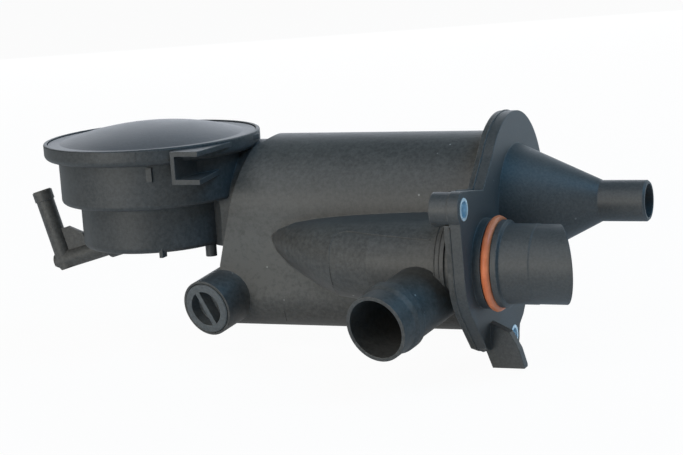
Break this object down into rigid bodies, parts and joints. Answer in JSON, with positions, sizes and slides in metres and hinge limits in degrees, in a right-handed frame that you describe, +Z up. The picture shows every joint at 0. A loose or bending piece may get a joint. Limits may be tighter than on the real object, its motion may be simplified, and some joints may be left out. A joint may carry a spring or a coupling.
{
  "type": "oil catch can",
  "caption": "Oil separating can for a crankcase breather: moulded tank with side conduit, sealed spigot, cone outlet, hose spigot, drain plug and a lidded valve drum.",
  "frame": {"origin": "on the axis of the sealed spigot, where it leaves the cover's mounting face", "axes": "+X out along the sealed spigot, away from the tank; +Z up, the way the drum's lid faces; +Y away from the hose spigot's side"},
  "size_m": [0.2773, 0.1313, 0.0985],
  "materials": {
    "nylon_body": "matt black glass-filled nylon, lightly mottled",
    "nylon_lid": "matt black nylon, smoother than the body",
    "nylon_plug": "matt dark grey nylon",
    "black_rubber": "matt black rubber",
    "orange_rubber": "semi-matt orange rubber",
    "zinc_steel": "bright zinc-plated steel",
    "spring_steel": "plain spring steel"
  },
  "bodies": {
    "can": {"separator_tank": "nylon_body", "front_cover": "nylon_body", "valve_housing": "nylon_body", "valve_cover": "nylon_lid", "vent_elbow": "nylon_body", "spigot_o_ring": "orange_rubber", "bush_upper": "zinc_steel", "bush_lower": "zinc_steel", "vortex_tube": "nylon_body", "baffle_plate": "nylon_body"},
    "valve": {"diaphragm": "black_rubber", "diaphragm_plate": "nylon_lid", "diaphragm_retainer": "nylon_lid", "valve_pad": "black_rubber", "valve_spring": "spring_steel"},
    "seal": {"drain_plug_seal": "black_rubber"},
    "plug": {"drain_plug": "nylon_plug"}
  },
  "joints": [
    {"name": "valve_travel", "type": "slide", "parent": "can", "child": "valve", "axis": [0, 0, 1], "range_m": [-0.0025, 0.002], "stiffness_N_per_m": 400, "deforming": ["diaphragm", "valve_spring"]},
    {"name": "plug_draw", "type": "slide", "parent": "can", "child": "seal", "axis": [-0.2236, -0.9595, -0.1712], "range_m": [0, 0.015]},
    {"name": "plug_turn", "type": "hinge", "parent": "seal", "child": "plug", "pos_m": [-0.12761, 0.00383, -0.02239], "axis": [-0.2236, -0.9595, -0.1712], "range_deg": [0, 1801]}
  ],
  "couplings": [
    {"joint": "plug_turn", "follows": "plug_draw", "rad_per_m": 2094.4}
  ]
}
